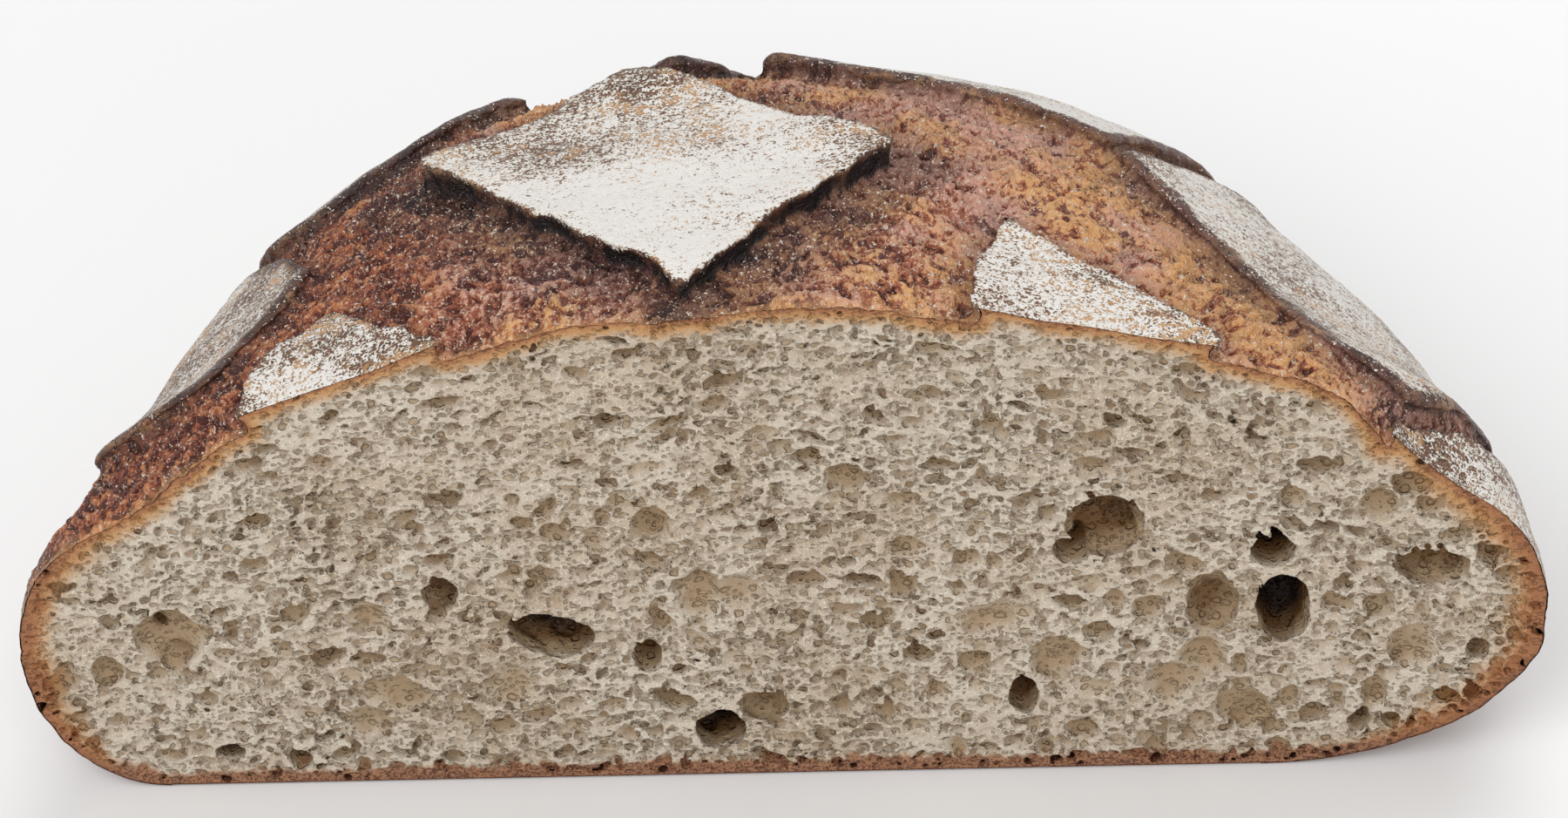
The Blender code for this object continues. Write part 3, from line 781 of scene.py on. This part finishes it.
class Shader:
    """A material's node tree, with short calls for the few kinds of node used here."""

    def __init__(self, name):
        self.material = bpy.data.materials.new(name)
        self.material.use_nodes = True
        self.tree = self.material.node_tree
        self.surface = self.tree.nodes["Principled BSDF"]
        self.place = self.tree.nodes.new("ShaderNodeTexCoord").outputs["Object"]

    def join(self, value, socket):
        if isinstance(value, bpy.types.NodeSocket):
            self.tree.links.new(value, socket)
        else:
            socket.default_value = value

    def attribute(self, name):
        node = self.tree.nodes.new("ShaderNodeAttribute")
        node.attribute_name = name
        return node.outputs["Fac"]

    def noise(self, per_mm, detail=2.0, rough=0.5, stretch=(1.0, 1.0, 1.0), seed=0.0):
        move = self.tree.nodes.new("ShaderNodeMapping")
        move.inputs["Scale"].default_value = [k * 1000.0 for k in stretch]
        move.inputs["Location"].default_value = (seed, seed * 1.7, seed * 0.6)
        self.tree.links.new(self.place, move.inputs["Vector"])
        node = self.tree.nodes.new("ShaderNodeTexNoise")
        node.inputs["Scale"].default_value = per_mm
        node.inputs["Detail"].default_value = detail
        node.inputs["Roughness"].default_value = rough
        self.tree.links.new(move.outputs["Vector"], node.inputs["Vector"])
        return node.outputs["Fac"]

    def cells(self, per_mm, seed=0.0, stretch=(1.0, 1.0, 1.0), warp=0.0):
        """Distance from the nearest of many scattered points, and that point's own number."""
        move = self.tree.nodes.new("ShaderNodeMapping")
        move.inputs["Scale"].default_value = [k * 1000.0 for k in stretch]
        move.inputs["Location"].default_value = (seed, seed * 1.7, seed * 0.6)
        self.tree.links.new(self.place, move.inputs["Vector"])
        bent = self.tree.nodes.new("ShaderNodeTexNoise")
        bent.inputs["Scale"].default_value = per_mm * 1.6
        bent.inputs["Detail"].default_value = 2.0
        self.tree.links.new(move.outputs["Vector"], bent.inputs["Vector"])
        add = self.tree.nodes.new("ShaderNodeVectorMath")
        add.operation = "MULTIPLY_ADD"
        self.tree.links.new(bent.outputs["Color"], add.inputs[0])
        add.inputs[1].default_value = (warp, warp, warp)
        self.tree.links.new(move.outputs["Vector"], add.inputs[2])
        node = self.tree.nodes.new("ShaderNodeTexVoronoi")
        node.inputs["Scale"].default_value = per_mm
        self.tree.links.new(add.outputs["Vector"], node.inputs["Vector"])
        split = self.tree.nodes.new("ShaderNodeSeparateColor")
        self.tree.links.new(node.outputs["Color"], split.inputs["Color"])
        return node.outputs["Distance"], split.outputs["Red"]

    def math(self, kind, a, b=0.0, clamp=False):
        node = self.tree.nodes.new("ShaderNodeMath")
        node.operation = kind
        node.use_clamp = clamp
        self.join(a, node.inputs[0])
        self.join(b, node.inputs[1])
        return node.outputs[0]

    def between(self, value, low, high, to_low=0.0, to_high=1.0):
        """value carried smoothly from [low, high] to [to_low, to_high]."""
        node = self.tree.nodes.new("ShaderNodeMapRange")
        node.interpolation_type = "SMOOTHSTEP"
        for name, x in (("Value", value), ("From Min", low), ("From Max", high),
                        ("To Min", to_low), ("To Max", to_high)):
            self.join(x, node.inputs[name])
        return node.outputs["Result"]

    def mix(self, share, a, b, kind="MIX"):
        node = self.tree.nodes.new("ShaderNodeMix")
        node.data_type = "RGBA"
        node.blend_type = kind
        node.clamp_factor = True
        self.join(share, node.inputs[0])
        self.join(a, node.inputs[6])
        self.join(b, node.inputs[7])
        return node.outputs[2]

    def bump(self, height, strength, distance):
        node = self.tree.nodes.new("ShaderNodeBump")
        node.inputs["Strength"].default_value = strength
        node.inputs["Distance"].default_value = distance
        self.tree.links.new(height, node.inputs["Height"])
        return node.outputs["Normal"]

    def finish(self, colour, rough, normal=None):
        self.join(colour, self.surface.inputs["Base Color"])
        self.join(rough, self.surface.inputs["Roughness"])
        if normal is not None:
            self.join(normal, self.surface.inputs["Normal"])
        self.surface.inputs["Specular IOR Level"].default_value = 0.4
        return self.material


CRUMB = linear(203, 190, 172)
CRUMB_WALL_HIGHLIGHT = linear(232, 224, 212)
CRUMB_WARM = linear(188, 171, 149)
CRUMB_HOLLOW_SHADE = linear(164, 140, 110)
CRUMB_DEEP_SHADE = linear(106, 74, 38)
CRUMB_DARKEST_SHADE = linear(32, 15, 8)
GOLD = linear(190, 138, 80)
TOAST = linear(152, 96, 62)
TOAST_DARK = linear(104, 60, 42)
SOLE = linear(156, 112, 82)

FURROW_GOLD = linear(226, 170, 112)
FURROW_AMBER = linear(204, 134, 84)
FURROW_PALE = linear(212, 162, 142)
FURROW = linear(158, 88, 60)
FURROW_DARK = linear(84, 38, 28)
PLUM = linear(104, 66, 64)
PAINTED_GLINT = linear(238, 214, 190)
UNDER = linear(84, 50, 48)
UNDER_DARK = linear(40, 22, 22)
BURNT = linear(26, 19, 20)
SKIN = linear(112, 78, 58)
SKIN_GOLD = linear(196, 150, 104)
SKIN_DARK = linear(52, 36, 30)
FLOUR = linear(234, 230, 225)
FLOUR_THIN = linear(206, 190, 170)
SIDE = linear(134, 82, 60)


def crumb_material():
    s = Shader("crumb")
    toast, crown, sole = s.attribute("toast"), s.attribute("crown"), s.attribute("sole")
    deep = s.attribute("deep")
    cloud = s.noise(0.06, 3.0)
    fine = s.noise(0.9, 3.0, 0.6)
    grain = s.noise(2.6, 2.0, 0.6, seed=4.0)
    colour = s.mix(s.between(cloud, 0.38, 0.66), CRUMB, CRUMB_WARM)
    colour = s.mix(s.math("MULTIPLY", s.between(fine, 0.45, 0.7), 0.4), colour, CRUMB_WARM)

    # The finest bubbles: hollows of different depths with thin walls between, coloured as painted shade
    # in the hollows and painted highlights on the walls.
    far_a, own_a = s.cells(0.62, 3.0, (0.8, 1.0, 1.3), 0.9)
    far_b, own_b = s.cells(1.25, 9.0, (0.85, 1.0, 1.2), 0.6)
    pit_a = s.math("MULTIPLY", s.between(far_a, 0.50, 0.22), s.between(own_a, 0.35, 0.75))
    pit_b = s.math("MULTIPLY", s.between(far_b, 0.52, 0.20), s.between(own_b, 0.30, 0.80))
    pits = s.math("MAXIMUM", pit_a, s.math("MULTIPLY", pit_b, 0.8))
    colour = s.mix(s.math("MULTIPLY", pits, 0.8), colour, CRUMB_HOLLOW_SHADE)
    # Painted shade: a dark spot at the centre of some of the pits.
    painted_shade_spot = s.math("MULTIPLY", s.between(pit_a, 0.72, 1.0), s.between(own_a, 0.86, 0.96))
    colour = s.mix(s.math("MULTIPLY", painted_shade_spot, 0.6), colour, CRUMB_DEEP_SHADE)
    # Painted highlights: pale flecks on the walls between the pits.
    wall = s.math("SUBTRACT", s.between(grain, 0.54, 0.66), pits, clamp=True)
    colour = s.mix(s.math("MULTIPLY", wall, 0.75), colour, CRUMB_WALL_HIGHLIGHT)

    # Painted shade: the crumb is coloured darker the deeper it lies behind the cut, near black at the
    # back of the deepest holes.
    colour = s.mix(s.between(deep, 0.25, 2.2), colour, CRUMB_HOLLOW_SHADE)
    colour = s.mix(s.between(deep, 2.2, 5.0), colour, CRUMB_DEEP_SHADE)
    colour = s.mix(s.between(deep, 4.6, 8.0), colour, CRUMB_DARKEST_SHADE)

    # Browned towards the crust: golden at first, then red-brown in grains.
    gold_in = s.math("ADD", toast, s.math("MULTIPLY", s.math("SUBTRACT", fine, 0.5), 0.5))
    gold_in = s.math("ADD", gold_in, s.math("MULTIPLY", s.math("SUBTRACT", grain, 0.5), 0.5))
    colour = s.mix(s.math("MULTIPLY", s.between(gold_in, 0.0, 0.7), 0.9), colour, GOLD)
    reds = s.math("ADD", gold_in, s.math("MULTIPLY", crown, -0.22))
    colour = s.mix(s.math("MULTIPLY", s.between(reds, 0.34, 0.74), 0.85), colour, TOAST)
    colour = s.mix(s.math("MULTIPLY", s.between(gold_in, 0.86, 1.2), 0.8), colour, TOAST_DARK)
    brown = s.math("MULTIPLY", s.between(gold_in, 0.12, 0.36), sole)
    colour = s.mix(s.math("MULTIPLY", brown, 0.9), colour, SOLE)
    specks = s.math("MULTIPLY", brown, s.between(grain, 0.52, 0.40))
    colour = s.mix(specks, colour, TOAST_DARK)
    rough = s.between(deep, 0.4, 4.0, 0.7, 0.5)
    bumps = s.math("SUBTRACT", s.math("MULTIPLY", grain, 0.45), s.math("MULTIPLY", pits, 1.0))
    normal = s.bump(bumps, 1.0, 0.0007)
    return s.finish(colour, rough, normal)


def crust_material():
    s = Shader("crust")
    flour, burn, shade = s.attribute("flour"), s.attribute("burn"), s.attribute("shade")
    crest, torn = s.attribute("crest"), s.attribute("torn")
    height, cut_side, paler = s.attribute("height"), s.attribute("cut_side"), s.attribute("paler")
    cloud = s.noise(0.045, 3.0, seed=3.0)
    patch = s.noise(0.12, 3.0, seed=8.0)
    fine = s.noise(0.8, 3.0, 0.65, seed=5.0)
    grit = s.noise(2.4, 2.0, 0.6, seed=2.0)
    flecks = s.noise(1.0, 3.0, 0.7, stretch=(1.0, 0.5, 1.6), seed=9.0)
    fibre, _ = s.cells(0.95, 5.0, (1.0, 0.55, 1.4), 1.6)

    # Torn dough: dark red in the hollows, which is painted shade, and pale or golden on the crests, which
    # is painted light, in broad patches.
    light = s.mix(s.between(cloud, 0.42, 0.58), FURROW_PALE, FURROW_GOLD)
    open_dough = s.mix(s.between(patch, 0.47, 0.68), FURROW, PLUM)
    light = s.mix(s.between(paler, -0.1, -0.8), light, FURROW_AMBER)
    # lit: the torn dough's height, as painted light on the crests and painted shade in the hollows, mixed
    # with noise for the dough's own uneven colour.
    lit = s.math("ADD", crest, s.math("MULTIPLY", s.math("SUBTRACT", fine, 0.5), 1.2))
    lit = s.math("ADD", lit, s.math("MULTIPLY", s.math("SUBTRACT", flecks, 0.5), 1.1))
    lit = s.math("ADD", lit, s.math("MULTIPLY", s.math("SUBTRACT", 0.42, fibre), 0.7))
    lit = s.math("ADD", lit, s.math("ADD", s.math("MULTIPLY", paler, 0.25), 0.10))
    open_dough = s.mix(s.between(lit, 0.50, 0.22), open_dough, FURROW_DARK)
    bright = s.math("MULTIPLY", s.between(lit, 0.54, 0.84), 0.9)
    open_dough = s.mix(bright, open_dough, light)
    open_dough = s.mix(s.math("MULTIPLY", cut_side, 0.45), open_dough, FURROW_GOLD)

    # Old skin: brown, with flour lying in its pores and worn off its high spots.
    skin = s.mix(s.between(patch, 0.50, 0.60), SKIN, SKIN_GOLD)
    skin = s.mix(s.between(fine, 0.44, 0.55), skin, SKIN_DARK)
    colour = s.mix(torn, skin, open_dough)

    # Below the plates' edges: partly the bank's own dark bake, partly painted shade under the lifted
    # edges, lighter on the crests as painted light.
    under = s.mix(s.between(lit, 0.35, 0.95), UNDER_DARK, UNDER)
    colour = s.mix(s.math("MULTIPLY", shade, 0.93), colour, under)
    # Painted highlights: small pale glints scattered over the torn dough.
    painted_glints = s.between(s.noise(2.1, 1.0, 0.5, seed=15.0), 0.66, 0.72)
    painted_glints = s.math("MULTIPLY", painted_glints, s.math("MULTIPLY", torn, 0.7))
    colour = s.mix(painted_glints, colour, PAINTED_GLINT)
    colour = s.mix(s.between(burn, 0.25, 0.8), colour, BURNT)

    lies = s.math("ADD", flour, s.math("MULTIPLY", s.math("SUBTRACT", fine, 0.5), 1.8))
    lies = s.math("ADD", lies, s.math("MULTIPLY", s.math("SUBTRACT", grit, 0.5), 2.2))
    lies = s.math("SUBTRACT", lies, s.math("MULTIPLY", burn, 0.35))
    colour = s.mix(s.between(lies, 0.32, 0.42), colour, FLOUR_THIN)
    colour = s.mix(s.between(lies, 0.42, 0.60), colour, FLOUR)

    low = s.between(height, 28.0, 6.0)
    colour = s.mix(s.math("MULTIPLY", low, 0.7), colour, SIDE)
    rough = s.between(lies, 0.2, 0.6, 0.36, 0.9)
    bumps = s.math("ADD", fine, s.math("MULTIPLY", grit, 0.5))
    bumps = s.math("SUBTRACT", bumps, s.math("MULTIPLY", s.math("MULTIPLY", fibre, torn), 0.9))
    normal = s.bump(bumps, 0.8, 0.0007)
    return s.finish(colour, rough, normal)


def floor_material():
    s = Shader("studio_floor")
    return s.finish((0.93, 0.93, 0.93, 1.0), 0.9)


# ---------------------------------------------------------------- light, floor and camera
def area_light(name, place, target, size, watts):
    data = bpy.data.lights.new(name, "AREA")
    data.shape = "RECTANGLE"
    data.size, data.size_y = size
    data.energy = watts
    data.color = (1.0, 1.0, 1.0)
    made = bpy.data.objects.new(name, data)
    made.location = place
    made.rotation_euler = (Vector(target) - Vector(place)).to_track_quat("-Z", "Y").to_euler()
    bpy.context.scene.collection.objects.link(made)


def studio():
    scene = bpy.context.scene
    scene.view_settings.view_transform = "Standard"
    world = bpy.data.worlds.new("studio")
    world.use_nodes = True
    back = world.node_tree.nodes["Background"]
    back.inputs["Color"].default_value = (1.0, 1.0, 1.0, 1.0)
    back.inputs["Strength"].default_value = 0.44
    scene.world = world

    mesh = bpy.data.meshes.new("floor")
    r = 3.0
    mesh.from_pydata([(-r, -r, 0), (r, -r, 0), (r, r, 0), (-r, r, 0)], [], [(0, 1, 2, 3)])
    floor = bpy.data.objects.new("floor", mesh)
    floor.location.z = -0.0003
    mesh.materials.append(floor_material())
    scene.collection.objects.link(floor)

    area_light("key", (-0.55, -0.75, 0.95), (0.0, 0.0, 0.05), (0.9, 0.9), 7.6)
    area_light("over", (0.25, 0.55, 1.1), (0.0, 0.0, 0.05), (1.0, 0.8), 6.2)
    area_light("front", (0.5, -1.1, 0.45), (0.0, 0.0, 0.05), (0.8, 0.6), 3.4)


def camera(offset):
    """At the loaf's front, 43 degrees up and 0.9 m away, leaning 1.1 degrees."""
    elevation, lean = math.radians(43.0), math.radians(-1.1)
    aim = Vector(((0.9 + offset[0]) * MM, (18.6 + offset[1]) * MM, 61.0 * MM))
    back = Vector((0.0, -math.cos(elevation), math.sin(elevation)))
    eye = Vector((offset[0] * MM, offset[1] * MM, 40.0 * MM)) + back * 0.9
    back = (eye - aim).normalized()
    right = Vector((0, 0, 1)).cross(back).normalized()
    up = back.cross(right)
    right, up = (right * math.cos(lean) + up * math.sin(lean),
                 up * math.cos(lean) - right * math.sin(lean))
    data = bpy.data.cameras.new("camera")
    data.lens = 133.0
    data.sensor_width = 36.0
    data.clip_start, data.clip_end = 0.05, 20.0
    made = bpy.data.objects.new("camera", data)
    made.matrix_world = Matrix((
        (right.x, up.x, back.x, eye.x),
        (right.y, up.y, back.y, eye.y),
        (right.z, up.z, back.z, eye.z),
        (0.0, 0.0, 0.0, 1.0),
    ))
    bpy.context.scene.collection.objects.link(made)
    bpy.context.scene.camera = made


def main():
    low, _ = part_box("loaf")
    offset = np.array([-0.094, low[1] / MM, 0.0])
    crusts, outline = make_crust(offset)
    crumb = make_crumb(outline, offset)
    baked, open_crumb = crust_material(), crumb_material()
    for piece in crusts:
        piece.data.materials.append(baked)
    for piece in crumb:
        piece.data.materials.append(open_crumb)
    for piece in crusts + crumb:
        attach(piece, "root")
        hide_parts("loaf")
        print(piece.name, len(piece.data.polygons), "faces")
    studio()
    camera(offset)
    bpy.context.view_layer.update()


main()
